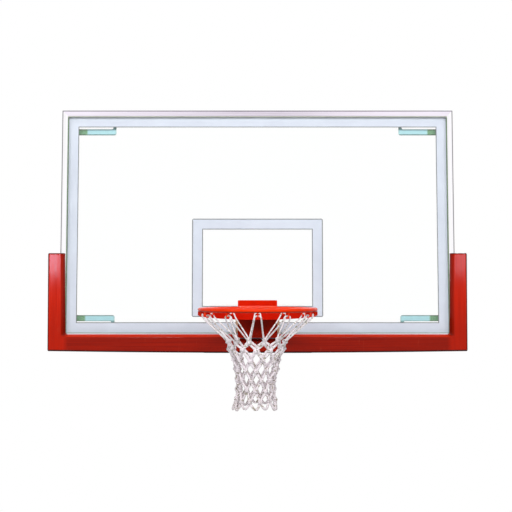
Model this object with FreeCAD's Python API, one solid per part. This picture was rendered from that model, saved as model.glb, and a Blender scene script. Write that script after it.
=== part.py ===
"""Glass basketball backboard with an edge pad, a spring-hinged ring and a net.

Sizes are in millimetres. +X is the right of the playing side, -Y is the playing side and +Z is up.
The origin is the centre of the four mounting slots, on the back faces of the mounting plates.
"""
import FreeCAD, Part
import math
import os

V = FreeCAD.Vector

# Board and glass
board_width = 1828.8
board_height = 1066.8
glass_thickness = 12.7
border_inner_edge = 76.8
target_width = 609.6
target_height = 457.2
target_line = 50.8
target_corner = 8.0
target_above_edge = 101.6
print_thickness = 0.4

# Aluminium frame
frame_depth = 38.0
frame_face = 26.0
frame_wall = 3.0
frame_flange = 48.0
frame_edge_round = 2.0
seal_thickness = 2.5
seal_show = 3.0
glazing_fit = 0.1

# Mounting plates behind the corners
plate_thickness = 6.0
plate_reach = 247.0
plate_height = 109.0
plate_corner = 10.0
slot_width = 14.3
slot_length = 173.0
slot_from_side = 146.5
slot_from_edge = 74.0
plate_screw_inset = 11.0
plate_screws_along = (90.0, 214.0)
plate_screws_down = (90.0,)
plate_screw_radius = 4.0
plate_screw_head = 8.0
plate_screw_end = 1.0
screw_sides = 6
screw_fit = 0.1
nut_height = 6.5
nut_radius = 7.5

# Moulded edge pad
pad_side = 48.0
pad_bottom = 50.0
pad_front = 25.0
pad_rear = 20.0
pad_side_cover = 30.0
pad_bottom_cover = 22.0
pad_rear_cover = 22.0
pad_arm_height = 396.0
pad_arm_taper = 8.5
pad_arm_splay = 3.5
pad_bevel_width = 10.0
pad_bevel_depth = 8.0
pad_edge = 18.0
pad_corner = 10.0
pad_seam = 2.0
pad_fit = 0.3
pad_notch_fit = 8.0
pad_screw_radius = 3.0
pad_screw_head = 9.0
pad_screw_pocket = 10.0
pad_screw_head_height = 4.0
pad_screw_sink = 8.0
pad_screws_along = 3
pad_screws_up = 2

# Goal fixing through the glass
goal_plate_width = 178.0
goal_plate_top = 34.6
goal_plate_bottom = 138.4
goal_plate_thickness = 8.0
goal_plate_corner = 8.0
goal_gasket_width = 202.0
goal_gasket_thickness = 6.0
goal_gasket_step = 32.0
rear_gasket_thickness = 3.0
rear_plate_thickness = 8.0
rear_plate_top = 33.6
rear_plate_bottom = 109.6
goal_bolt_spacing_x = 127.0
goal_bolt_spacing_z = 101.6
goal_bolt_above_ring = 19.6
goal_bolt_radius = 6.0
goal_bolt_head = 11.0
goal_bolt_head_height = 7.5
goal_bolt_end = 3.0
goal_bolt_sides = 8
bushing_wall = 3.0
bolt_fit = 0.3
washer_radius = 13.0
washer_thickness = 2.5
goal_nut_height = 10.8

# Ring, brace and hooks
ring_inner_diameter = 457.2
ring_rod = 16.0
ring_rod_sides = 12
ring_gap = 152.4
ring_above_edge = 144.4
brace_thickness = 5.0
brace_drop_side = 23.0
brace_drop_rear = 51.0
weld_gap = 0.2
hook_count = 12
hook_rod = 5.0
hook_rod_sides = 6
hook_bend = 9.3
hook_bend_steps = 4
hook_drop = 16.0
hook_tip = 7.0
hook_inset = 1.0

# Hinged carrier
pin_radius = 8.0
pin_fit = 0.05
pin_from_plate = 25.5
pin_below_ring = 2.0
lug_thickness = 6.0
lug_radius = 20.0
web_thickness = 6.0
web_radius = 17.0
web_bottom = 46.0
bush_wall = 3.0
bush_flange = 1.4
bush_flange_radius = 14.0
bush_sides = 16
flange_fit = 0.1
heel_fit = 0.3
heel_low = 4.0
panel_thickness = 6.0
panel_from_pin = 26.0
panel_drop = 135.0
panel_fit = 4.0
panel_corner = 3.0
top_plate_thickness = 6.0
top_plate_above_ring = 1.0
web_reach = 0.9
pin_head_radius = 12.0
pin_head_thickness = 5.0
pin_end = 3.5
clip_thickness = 1.5
clip_radius = 12.0
clip_sides = 12
clip_mouth = 0.8
groove_depth = 1.0

# Return springs
spring_offset = 36.0
spring_below_ring = 45.0
spring_radius = 15.5
spring_wire = 4.5
spring_wire_sides = 6
spring_steps = 12
spring_turns_closed = 0.75
spring_turns_active = 2.5
spring_closed_pitch = 5.6
spring_fit = 0.3
seat_radius = 20.0
seat_thickness = 3.0
seat_boss_radius = 12.0
seat_boss_height = 10.0
seat_sides = 12

# Knotted net
net_cord = 5.0
net_loop_width = 8.0
net_fit = 0.8
net_sides = 24
net_drops = (130.0, 160.0, 203.0, 243.0, 283.0, 323.0, 363.0, 403.0)
net_radii = (118.0, 111.0, 92.0, 85.0, 77.0, 75.0, 78.0, 84.0)

# Planes that follow from the sizes above
half_width = board_width / 2
half_height = board_height / 2
frame_back = -plate_thickness
frame_front = frame_back - frame_depth
glass_front = frame_front + frame_wall + seal_thickness
glass_back = glass_front + glass_thickness
web_front = glass_back + seal_thickness + glazing_fit
glass_inset = frame_wall + glazing_fit + seal_thickness
seal_inner_edge = frame_face + seal_show
ring_z = ring_above_edge - half_height
ring_radius = (ring_inner_diameter + ring_rod) / 2
ring_outer = ring_radius + ring_rod / 2
ring_y = glass_front - ring_gap - ring_inner_diameter / 2
goal_plate_back = glass_front - goal_gasket_thickness
goal_plate_front = goal_plate_back - goal_plate_thickness
pin_y = goal_plate_front - pin_from_plate
pin_z = ring_z - pin_below_ring
lug_outer = goal_plate_width / 2
lug_inner = lug_outer - lug_thickness
web_outer = lug_inner - flange_fit - bush_flange
web_inner = web_outer - web_thickness
panel_back = pin_y - panel_from_pin
panel_front = panel_back - panel_thickness
top_plate_z = ring_z + top_plate_above_ring
spring_z = ring_z - spring_below_ring


def box(x0, x1, y0, y1, z0, z1):
    """Box between two opposite corners."""
    return Part.makeBox(x1 - x0, y1 - y0, z1 - z0, V(x0, y0, z0))


def rod_x(y, z, radius, x0, x1):
    """Round rod along X."""
    return Part.makeCylinder(radius, x1 - x0, V(x0, y, z), V(1, 0, 0))


def polygon(x, z, radius, sides):
    """Corners of a regular polygon in the front view."""
    step = 2 * math.pi / sides
    return [(x + radius * math.cos(step * k), z + radius * math.sin(step * k), 0) for k in range(sides)]


def prism_y(x, z, radius, sides, y0, y1):
    """Many-sided rod along Y, for screws, nuts and their holes."""
    return slab(polygon(x, z, radius, sides), y0, y1)


def prism_x(y, z, radius, sides, x0, x1):
    """Many-sided rod along X."""
    return side_plate(polygon(y, z, radius, sides), x0, x1)


def outline(corners, place):
    """Closed wire through corners (a, b, round-off radius), put in space by place(a, b)."""
    edges = []
    ends = []
    count = len(corners)
    for k in range(count):
        a, b, radius = corners[k]
        here = V(a, b, 0)
        to_last = V(*corners[k - 1][:2], 0) - here
        to_next = V(*corners[(k + 1) % count][:2], 0) - here
        if radius == 0:
            ends.append((here, None, here))
            continue
        to_last.normalize()
        to_next.normalize()
        half = to_last.getAngle(to_next) / 2
        run = radius / math.tan(half)
        middle = to_last + to_next
        middle.normalize()
        crown = here + middle * (radius / math.sin(half) - radius)
        ends.append((here + to_last * run, crown, here + to_next * run))
    for k in range(count):
        start, crown, stop = [p and place(p.x, p.y) for p in ends[k]]
        if crown:
            edges.append(Part.Arc(start, crown, stop).toShape())
        following = ends[(k + 1) % count][0]
        following = place(following.x, following.y)
        if stop.distanceToPoint(following) > 1e-6:
            edges.append(Part.makeLine(stop, following))
    return Part.Wire(edges)


def slab(corners, y0, y1):
    """Plate whose front view is an outline of corners (x, z, radius)."""
    face = Part.Face(outline(corners, lambda x, z: V(x, y0, z)))
    return face.extrude(V(0, y1 - y0, 0))


def side_plate(corners, x0, x1):
    """Plate whose side view is an outline of corners (y, z, radius)."""
    face = Part.Face(outline(corners, lambda y, z: V(x0, y, z)))
    return face.extrude(V(x1 - x0, 0, 0))


def rectangle(x0, x1, z0, z1, radius=0):
    """Corners of a rectangle in the front view."""
    return [(x0, z0, radius), (x1, z0, radius), (x1, z1, radius), (x0, z1, radius)]


def centred(width, height, radius=0, z=0):
    """Corners of a rectangle centred on the board's middle line."""
    return rectangle(-width / 2, width / 2, z - height / 2, z + height / 2, radius)


def closed_wire(points):
    """Straight-sided closed wire."""
    return Part.makePolygon(points + points[:1])


def bands(rings, twisted=False):
    """Flat faces between rings of points, in halves where the rings twist."""
    faces = []
    for upper, lower in zip(rings, rings[1:]):
        for k in range(len(upper)):
            a, b, c, d = upper[k - 1], upper[k], lower[k], lower[k - 1]
            pieces = [[a, b, c], [a, c, d]] if twisted else [[a, b, c, d]]
            faces += [Part.Face(closed_wire(piece)) for piece in pieces]
    return faces


def skinned(rings, twisted=False):
    """Solid with flat faces through rings of points, closed at both ends."""
    ends = [Part.Face(closed_wire(rings[k])) for k in (0, -1)]
    return Part.makeSolid(Part.makeShell(bands(rings, twisted) + ends))


def left_right(shape):
    """Mirror image across the board's middle plane."""
    return shape.mirror(V(0, 0, 0), V(1, 0, 0))


def up_down(shape):
    """Mirror image across the board's half height."""
    return shape.mirror(V(0, 0, 0), V(0, 0, 1))


def group(shapes):
    """Separate equal pieces kept together."""
    return Part.makeCompound(shapes)


def goal_bolt_places():
    """Centres of the four goal bolts."""
    top = ring_z + goal_bolt_above_ring
    return [(side * goal_bolt_spacing_x / 2, z)
            for side in (-1, 1) for z in (top, top - goal_bolt_spacing_z)]


def plate_screw_places():
    """Screw centres of the upper left plate: two on the rail and two on the stile."""
    flange = frame_face + plate_screw_inset
    insets = [(a, flange) for a in plate_screws_along] + [(flange, b) for b in plate_screws_down]
    return [(a - half_width, half_height - b) for a, b in insets]


def all_corners(places):
    """The same places at all four corners of the board."""
    return [(sx * x, sz * z) for x, z in places for sx in (1, -1) for sz in (1, -1)]


def pad_screw_places():
    """Screw centres of the left pad half, along the bottom and up the side."""
    inset = pad_rear_cover / 2
    spacing = half_width / pad_screws_along
    bottom = [(-spacing * (k + 0.5), inset - half_height) for k in range(pad_screws_along)]
    rise = pad_arm_height / pad_screws_up
    side = [(inset - half_width, rise * (k + 0.5) - half_height) for k in range(pad_screws_up)]
    return bottom + side


def glass_sheet():
    """The glass before it is drilled."""
    corners = centred(board_width - 2 * glass_inset, board_height - 2 * glass_inset)
    return slab(corners, glass_front, glass_back)


def glass_panel():
    """Tempered glass with the four goal holes."""
    hole = goal_bolt_radius + bolt_fit + bushing_wall + glazing_fit
    return glass_sheet().cut(goal_holes(hole, glass_front, glass_back))


def printed_frame(outer, inner):
    """White ceramic print on the back of the glass, between two outlines."""
    back = glass_back + print_thickness
    return slab(outer, glass_back, back).cut(slab(inner, glass_back, back))


def border_marking():
    """White band round the edge of the glass."""
    start = seal_inner_edge + glazing_fit
    band = printed_frame(centred(board_width - 2 * start, board_height - 2 * start),
                         centred(board_width - 2 * border_inner_edge, board_height - 2 * border_inner_edge))
    return band.cut(goal_holes(goal_bolt_radius + bolt_fit, glass_back, glass_back + print_thickness))


def target_marking():
    """White target rectangle above the ring."""
    z = target_above_edge + target_height / 2 - half_height
    return printed_frame(centred(target_width, target_height, target_corner, z),
                         centred(target_width - 2 * target_line, target_height - 2 * target_line, 0, z))


def glazing_gasket():
    """Vinyl channel wrapped round the glass edge."""
    front = glass_front - seal_thickness
    back = glass_back + seal_thickness
    grow = 2 * (glass_inset - seal_thickness)
    block = slab(centred(board_width - grow, board_height - grow), front, back)
    window = slab(centred(board_width - 2 * seal_inner_edge, board_height - 2 * seal_inner_edge), front, back)
    return block.cut(glass_sheet()).cut(window)


def rail_section():
    """Extrusion profile: (distance in from the edge, y, round-off)."""
    web_back = web_front + frame_wall
    flange_front = frame_back - frame_wall
    return [(0, frame_front, frame_edge_round), (frame_face, frame_front, 0),
            (frame_face, frame_front + frame_wall, 0), (frame_wall, frame_front + frame_wall, 0),
            (frame_wall, web_front, 0), (frame_face, web_front, 0),
            (frame_face, web_back, 0), (frame_wall, web_back, 0),
            (frame_wall, flange_front, 0), (frame_flange, flange_front, 0),
            (frame_flange, frame_back, 0), (0, frame_back, frame_edge_round)]


def screw_holes():
    """Clearance holes for the plate and pad screws through the frame's rear flange."""
    web_back = web_front + frame_wall
    plate_holes = [prism_y(x, z, plate_screw_radius + screw_fit, screw_sides, web_back, 0)
                   for x, z in all_corners(plate_screw_places())]
    pad_holes = [prism_y(side * x, z, pad_screw_radius + screw_fit, screw_sides, web_back, 0)
                 for x, z in pad_screw_places() for side in (1, -1)]
    return group(plate_holes + pad_holes)


def top_rail():
    """Mitred rail along the upper edge."""
    profile = outline(rail_section(), lambda inset, y: V(-half_width, y, half_height - inset))
    bar = Part.Face(profile).extrude(V(board_width, 0, 0))
    depth = frame_flange + frame_wall
    mitres = [(-half_width, half_height, 0), (half_width, half_height, 0),
              (half_width - depth, half_height - depth, 0), (depth - half_width, half_height - depth, 0)]
    return bar.common(slab(mitres, frame_front, frame_back))


def left_stile():
    """Mitred upright along the left edge."""
    profile = outline(rail_section(), lambda inset, y: V(inset - half_width, y, -half_height))
    bar = Part.Face(profile).extrude(V(0, 0, board_height))
    depth = frame_flange + frame_wall
    mitres = [(-half_width, -half_height, 0), (-half_width, half_height, 0),
              (depth - half_width, half_height - depth, 0), (depth - half_width, depth - half_height, 0)]
    return bar.common(slab(mitres, frame_front, frame_back))


def mount_plate():
    """Slotted plate behind the upper left corner, which also ties rail and stile."""
    x0 = frame_face - half_width
    x1 = plate_reach - half_width
    z0 = half_height - plate_height
    z1 = half_height - frame_face
    plate = slab([(x0, z0, 0), (x1, z0, plate_corner), (x1, z1, plate_corner), (x0, z1, 0)], frame_back, 0)
    slot_x = slot_from_side - half_width
    slot_z = half_height - slot_from_edge
    slot = slab(rectangle(slot_x - slot_length / 2, slot_x + slot_length / 2,
                          slot_z - slot_width / 2, slot_z + slot_width / 2, slot_width / 2), frame_back, 0)
    holes = [sunk_screw(x, z, plate_screw_radius + screw_fit, plate_screw_head + screw_fit)
             for x, z in plate_screw_places()]
    return plate.cut(slot).cut(group(holes))


def sunk_screw(x, z, shank, head):
    """Countersunk screw, flush with the back of its plate."""
    depth = head - shank
    end = frame_back - frame_wall - nut_height - plate_screw_end
    return skinned([[V(a, y, b) for a, b, _ in polygon(x, z, radius, screw_sides)]
                    for radius, y in ((shank, end), (shank, -depth), (head, 0))])


def plate_screws():
    """Countersunk screws of all four mounting plates."""
    return group([sunk_screw(x, z, plate_screw_radius, plate_screw_head)
                  for x, z in all_corners(plate_screw_places())])


def plate_nuts():
    """Hexagon nuts of the plate screws, on the front of the frame's rear flange."""
    seat = frame_back - frame_wall
    return group([prism_y(x, z, nut_radius, 6, seat - nut_height, seat)
                  .cut(prism_y(x, z, plate_screw_radius + screw_fit, screw_sides, seat - nut_height, seat))
                  for x, z in all_corners(plate_screw_places())])


def pad_outline(inset_out, inset_in):
    """Front view of the left pad half, with its outer and inner edges drawn in by two amounts."""
    x_out = inset_out - half_width - pad_side
    x_in = pad_side_cover - half_width - inset_in
    z_bottom = inset_out - half_height - pad_bottom
    z_lip = pad_bottom_cover - half_height - inset_in
    z_top = pad_arm_height - half_height - inset_out
    seam = -pad_seam / 2
    return [(x_out - pad_arm_splay, z_top, pad_corner), (x_out, z_bottom, pad_corner), (seam, z_bottom, 0),
            (seam, z_lip, 0), (x_in, z_lip, pad_corner), (x_in - pad_arm_taper, z_top, pad_corner / 2)]


def edge_pad():
    """Left half of the moulded pad: a bevelled L that grips the frame's lower edge."""
    front = frame_front - pad_front
    shoulder = front + pad_edge
    back = frame_back + pad_rear
    levels = [(pad_edge, pad_bevel_width, front),
              (pad_edge - pad_bevel_depth, 0, front + pad_bevel_depth), (0, 0, shoulder)]
    sections = [outline(pad_outline(out, inside), lambda x, z, y=y: V(x, y, z)) for out, inside, y in levels]
    nose = Part.makeLoft(sections[:2], True, True).fuse(Part.makeLoft(sections[1:], True, True))
    body = nose.fuse(slab(pad_outline(0, 0), shoulder, back)).removeSplitter()
    reach = board_width
    edge_x = -half_width - pad_fit
    edge_z = -half_height - pad_fit
    throat = box(edge_x, 0, frame_front - pad_fit, frame_back + pad_fit, edge_z, reach)
    behind = box(pad_rear_cover - half_width, 0, frame_back, back, pad_rear_cover - half_height, reach)
    notch_z = ring_z - panel_drop - pad_notch_fit
    notch = box(-goal_plate_width / 2 - panel_fit, 0, front, frame_front, notch_z, reach)
    screws = []
    for x, z in pad_screw_places():
        screws.append(prism_y(x, z, pad_screw_radius + screw_fit, screw_sides, frame_back, back))
        screws.append(prism_y(x, z, pad_screw_pocket, screw_sides, back - pad_screw_sink, back))
    return body.cut(group([throat, behind, notch])).cut(group(screws))


def pad_screws():
    """Self-tapping screws that hold both pad halves to the frame's rear flange."""
    seat = frame_back + pad_rear - pad_screw_sink
    tip = frame_back - 2 * frame_wall
    return group([prism_y(side * x, z, pad_screw_radius, screw_sides, tip, seat)
                  .fuse(prism_y(side * x, z, pad_screw_head, screw_sides, seat, seat + pad_screw_head_height))
                  for x, z in pad_screw_places() for side in (1, -1)])


def goal_holes(radius, y0, y1):
    """Four holes on the goal bolt pattern."""
    return group([prism_y(x, z, radius, goal_bolt_sides, y0, y1) for x, z in goal_bolt_places()])


def goal_back_plate():
    """Fixed plate of the goal, bolted through the glass."""
    plate = slab(rectangle(-goal_plate_width / 2, goal_plate_width / 2, ring_z - goal_plate_bottom,
                           ring_z + goal_plate_top, goal_plate_corner), goal_plate_front, goal_plate_back)
    return plate.cut(goal_holes(goal_bolt_radius + bolt_fit, goal_plate_front, goal_plate_back))


def goal_gasket():
    """Fibre spacer between the goal plate and the glass, wider below the ring."""
    low = seal_inner_edge + bolt_fit - half_height
    step = ring_z - goal_gasket_step
    top = ring_z + goal_plate_top - goal_plate_corner / 2
    wide = goal_gasket_width / 2
    narrow = goal_plate_width / 2 - goal_plate_corner / 2
    upper = slab(rectangle(-narrow, narrow, step, top), goal_plate_back, glass_front)
    lower = slab(rectangle(-wide, wide, low, step), goal_plate_back, glass_front)
    spacer = upper.fuse(lower).removeSplitter()
    return spacer.cut(goal_holes(goal_bolt_radius + bolt_fit, goal_plate_back, glass_front))


def rear_outline():
    """Front view of the steel plate behind the glass and of its gasket."""
    half = goal_plate_width / 2 - goal_plate_corner / 2
    return rectangle(-half, half, ring_z - rear_plate_bottom, ring_z + rear_plate_top, goal_plate_corner)


def rear_gasket():
    """Rubber sheet between the glass and the rear plate, clear of the printed target."""
    front = glass_back + print_thickness
    back = front + rear_gasket_thickness
    return slab(rear_outline(), front, back).cut(goal_holes(goal_bolt_radius + bolt_fit, front, back))


def rear_goal_plate():
    """Steel plate that spreads the goal's load over the back of the glass."""
    front = glass_back + print_thickness + rear_gasket_thickness
    back = front + rear_plate_thickness
    return slab(rear_outline(), front, back).cut(goal_holes(goal_bolt_radius + bolt_fit, front, back))


def glass_bushings():
    """Nylon sleeves that keep the bolts off the glass."""
    bore = goal_bolt_radius + bolt_fit
    return group([prism_y(x, z, bore + bushing_wall, goal_bolt_sides, glass_front, glass_back)
                  .cut(prism_y(x, z, bore, goal_bolt_sides, glass_front, glass_back))
                  for x, z in goal_bolt_places()])


def bolt_stack():
    """Y of the rear plate's back, the washer's back and the nut's back."""
    plate = glass_back + print_thickness + rear_gasket_thickness + rear_plate_thickness
    washer = plate + washer_thickness
    return plate, washer, washer + goal_nut_height


def goal_bolts():
    """Hexagon bolts from the goal plate through to the rear plate."""
    end = bolt_stack()[2] + goal_bolt_end
    head = goal_plate_front - goal_bolt_head_height
    return group([prism_y(x, z, goal_bolt_radius, goal_bolt_sides, goal_plate_front, end)
                  .fuse(prism_y(x, z, goal_bolt_head, 6, head, goal_plate_front))
                  for x, z in goal_bolt_places()])


def goal_washers():
    """Washers behind the rear plate."""
    plate, washer, _ = bolt_stack()
    return group([prism_y(x, z, washer_radius, goal_bolt_sides, plate, washer)
                  .cut(prism_y(x, z, goal_bolt_radius + bolt_fit, goal_bolt_sides, plate, washer))
                  for x, z in goal_bolt_places()])


def goal_nuts():
    """Lock nuts on the goal bolts."""
    _, washer, nut = bolt_stack()
    return group([prism_y(x, z, goal_bolt_head, 6, washer, nut)
                  .cut(prism_y(x, z, goal_bolt_radius + screw_fit, goal_bolt_sides, washer, nut))
                  for x, z in goal_bolt_places()])


def hinge_lug():
    """Left ear of the fixed plate, which holds the hinge pin."""
    corners = [(goal_plate_front, pin_z - lug_radius, 0), (goal_plate_front, pin_z + lug_radius, 0),
               (pin_y - lug_radius, pin_z + lug_radius, lug_radius),
               (pin_y - lug_radius, pin_z - lug_radius, lug_radius)]
    lug = side_plate(corners, -lug_outer, -lug_inner)
    hole = (pin_radius + pin_fit) / math.cos(math.pi / bush_sides)
    return lug.cut(prism_x(pin_y, pin_z, hole, bush_sides, -lug_outer, -lug_inner))


def hinge_pin():
    """Headed pin with a clip groove at its right end."""
    groove = lug_outer + flange_fit
    groove_end = groove + clip_thickness + flange_fit
    pin = rod_x(pin_y, pin_z, pin_radius, -lug_outer, groove_end + pin_end)
    head = prism_x(pin_y, pin_z, pin_head_radius, bush_sides, -lug_outer - pin_head_thickness, -lug_outer)
    ring = prism_x(pin_y, pin_z, pin_head_radius, clip_sides, groove, groove_end)
    core = prism_x(pin_y, pin_z, pin_radius - groove_depth, clip_sides, groove, groove_end)
    return pin.fuse(head).cut(ring.cut(core))


def pin_clip():
    """Open spring clip in the pin's groove."""
    start = lug_outer + flange_fit
    stop = start + clip_thickness
    bore = pin_radius - groove_depth + pin_fit
    half = bore * clip_mouth
    mouth = box(start, stop, pin_y - half, pin_y + half, pin_z - 2 * clip_radius, pin_z)
    hole = prism_x(pin_y, pin_z, bore, clip_sides, start, stop)
    return prism_x(pin_y, pin_z, clip_radius, clip_sides, start, stop).cut(hole).cut(mouth)


def hinge_bush():
    """Flanged bronze bush in the left web, turning on the pin."""
    outer = pin_radius + pin_fit + bush_wall
    sleeve = prism_x(pin_y, pin_z, outer, bush_sides, -web_outer, -web_inner)
    flange = prism_x(pin_y, pin_z, bush_flange_radius, bush_sides, -web_outer - bush_flange, -web_outer)
    bore = rod_x(pin_y, pin_z, pin_radius + pin_fit, -web_outer - bush_flange, -web_inner)
    return sleeve.fuse(flange).cut(bore)


def carrier_web():
    """Left upright of the carrier: pin boss, stop heel and arm to the ring."""
    boss_front = pin_y - web_radius
    heel_back = goal_plate_front - heel_fit
    front = ring_y + ring_radius * web_reach
    corners = [(heel_back, pin_z + heel_low, 2), (heel_back, pin_z + web_radius, 4),
               (boss_front, pin_z + web_radius, 4), (boss_front, top_plate_z, 0),
               (front, top_plate_z, 0), (front, ring_z - web_bottom, 0),
               (pin_y, ring_z - web_bottom, web_radius),
               (pin_y + web_radius, pin_z - web_radius, web_radius / 2),
               (pin_y + web_radius, pin_z + heel_low, 0)]
    web = side_plate(corners, -web_outer, -web_inner)
    web = web.cut(ring_cylinder(ring_outer + weld_gap))
    bore = pin_radius + pin_fit + bush_wall + glazing_fit
    return web.cut(prism_x(pin_y, pin_z, bore, bush_sides, -web_outer, -web_inner))


def ring_cylinder(radius):
    """Tall cylinder about the ring's axis."""
    height = goal_plate_top + goal_plate_bottom
    return Part.makeCylinder(radius, 2 * height, V(0, ring_y, ring_z - height))


def carrier_top_plate():
    """Plate from the front panel to the ring, coped to the ring's curve."""
    half = goal_plate_width / 2
    plate = box(-half, half, ring_y, panel_front - weld_gap / 2,
                top_plate_z, top_plate_z + top_plate_thickness)
    return plate.cut(ring_cylinder(ring_outer + weld_gap))


def carrier_front_panel():
    """Tall front plate that the springs push on, slotted for both webs."""
    half = goal_plate_width / 2
    top = ring_z + goal_plate_top
    low = ring_z - panel_drop
    corners = [(-half, low, goal_plate_corner), (half, low, goal_plate_corner),
               (half, top, panel_corner), (-half, top, panel_corner)]
    panel = slab(corners, panel_front, panel_back)
    slot = box(-web_outer - glazing_fit, glazing_fit - web_inner, panel_front, panel_back,
               ring_z - web_bottom - glazing_fit, top_plate_z + glazing_fit)
    return panel.cut(slot).cut(left_right(slot))


def rim_ring():
    """Ring bent from round steel rod."""
    section = Part.Face(outline(polygon(ring_radius, ring_z, ring_rod / 2, ring_rod_sides),
                                lambda x, z: V(x, ring_y, z)))
    return section.revolve(V(0, ring_y, ring_z), V(0, 0, 1), 360)


def ring_brace():
    """Strap welded under the rear half of the ring, deeper towards the carrier."""
    top = ring_z - ring_rod / 2 + weld_gap
    low = ring_z - 2 * brace_drop_rear
    outer = Part.makeCylinder(ring_outer, top - low, V(0, ring_y, low))
    inner = Part.makeCylinder(ring_outer - brace_thickness, top - low, V(0, ring_y, low))
    rear = box(-ring_outer, ring_outer, ring_y, ring_y + ring_outer, low, top)
    below = side_plate([(ring_y, ring_z - brace_drop_side, 0),
                        (ring_y + ring_outer, ring_z - brace_drop_rear, 0),
                        (ring_y + ring_outer, low, 0), (ring_y, low, 0)], -ring_outer, ring_outer)
    return outer.cut(inner).common(rear).cut(below)


def hook_trough():
    """Radius and height of the bottom of a hook's bend."""
    return ring_radius - hook_inset - hook_bend, ring_z - hook_drop - hook_bend


def net_hook():
    """Bent rod under the front of the ring that carries one loop of the net."""
    trough_r, trough_z = hook_trough()
    bend_z = trough_z + hook_bend
    bend_y = ring_y - trough_r
    top = ring_z - ring_rod / 2 - weld_gap / 2
    start = [V(x, y, bend_z) for x, y, _ in polygon(0, bend_y - hook_bend, hook_rod / 2, hook_rod_sides)]
    sections = [[p + V(0, 0, top - bend_z) for p in start]]
    for k in range(hook_bend_steps + 1):
        bend = FreeCAD.Rotation(V(1, 0, 0), 180 / hook_bend_steps * k)
        middle = V(0, bend_y, bend_z)
        sections.append([middle + bend.multVec(p - middle) for p in start])
    sections.append([p + V(0, 0, hook_tip) for p in sections[-1]])
    return skinned(sections)


def turned(shape, degrees):
    """Copy of a shape turned about the ring's axis."""
    copy = shape.copy()
    copy.rotate(V(0, ring_y, ring_z), V(0, 0, 1), degrees)
    return copy


def net_hooks():
    """Hooks spaced evenly round the ring."""
    return group([turned(net_hook(), 360 / hook_count * k) for k in range(hook_count)])


def spring_seat(y, direction):
    """Left spring seat: a disc with a boss that keeps the spring in place."""
    far = y + direction * seat_thickness
    end = far + direction * seat_boss_height
    disc = prism_y(-spring_offset, spring_z, seat_radius, seat_sides, y, far)
    return disc.fuse(prism_y(-spring_offset, spring_z, seat_boss_radius, seat_sides, far, end))


def spring_points(step):
    """Centre line of the left spring, with closed end turns, at every step of a turn."""
    clear = seat_thickness + spring_fit + spring_wire / 2
    start = goal_plate_front - clear
    length = start - (panel_back + clear)
    closed = 2 * spring_turns_closed
    active_pitch = (length - closed * spring_closed_pitch) / spring_turns_active
    turns = closed + spring_turns_active
    points = []
    for k in range(round(turns / step) + 1):
        turn = k * step
        first = min(turn, spring_turns_closed)
        last = max(turn - turns + spring_turns_closed, 0)
        advance = (first + last) * spring_closed_pitch + (turn - first - last) * active_pitch
        angle = 2 * math.pi * turn
        points.append(V(-spring_offset + spring_radius * math.cos(angle), start - advance,
                        spring_z + spring_radius * math.sin(angle)))
    return points


def return_spring():
    """Left compression spring, one unbroken wire."""
    points = spring_points(1 / spring_steps)
    rings = []
    for k, centre in enumerate(points):
        outward = V(centre.x + spring_offset, 0, centre.z - spring_z).normalize()
        ahead = points[min(k + 1, len(points) - 1)] - points[max(k - 1, 0)]
        across = ahead.cross(outward).normalize()
        rings.append([centre + outward * a + across * b
                      for a, b, _ in polygon(0, 0, spring_wire / 2, spring_wire_sides)])
    return skinned(rings, twisted=True)


def spring_gap():
    """Least gap between neighbouring turns of the spring."""
    step = 1 / 64
    points = spring_points(step)
    near = round(0.5 / step)
    return min(points[a].distanceToPoint(points[b])
               for a in range(len(points)) for b in range(a + near, len(points))) - spring_wire


def net_rows():
    """Radius and height of each row of knots, from the hooks to the hem."""
    trough_r, trough_z = hook_trough()
    loop_z = trough_z + hook_rod / 2 + net_fit
    rows = [(trough_r, loop_z)]
    return rows + [(r, ring_z - drop) for r, drop in zip(net_radii, net_drops)]


def net_ring(radius, z):
    """Points round the ring's axis with a corner at each knot."""
    step = 2 * math.pi / net_sides
    return [V(radius * math.sin(step * k), ring_y - radius * math.cos(step * k), z) for k in range(net_sides)]


def net_tube(levels):
    """Tapering tube with flat sides, one cord thick."""
    outer, inner = [skinned([net_ring(r + grow, z) for r, z in levels])
                    for grow in (net_cord / 2, -net_cord / 2)]
    return outer.cut(inner)


def drawn_in(corners, amount):
    """Convex outline moved inwards; amount has one value for each side."""
    moved = []
    count = len(corners)
    for k in range(count):
        (ax, az), (bx, bz), (cx, cz) = corners[k - 1], corners[k], corners[(k + 1) % count]
        first = V(bx - ax, bz - az, 0).normalize()
        second = V(cx - bx, cz - bz, 0).normalize()
        p = V(ax - first.y * amount[k - 1], az + first.x * amount[k - 1], 0)
        q = V(bx - second.y * amount[k], bz + second.x * amount[k], 0)
        along = ((q.x - p.x) * second.y - (q.y - p.y) * second.x) / (first.x * second.y - first.y * second.x)
        moved.append((p.x + first.x * along, p.y + first.y * along, 0))
    return moved


def net_cutter(corners, amount):
    """Prism that opens one mesh on the net's front."""
    return slab(drawn_in(corners, amount), ring_y - 2 * ring_radius, ring_y)


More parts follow.
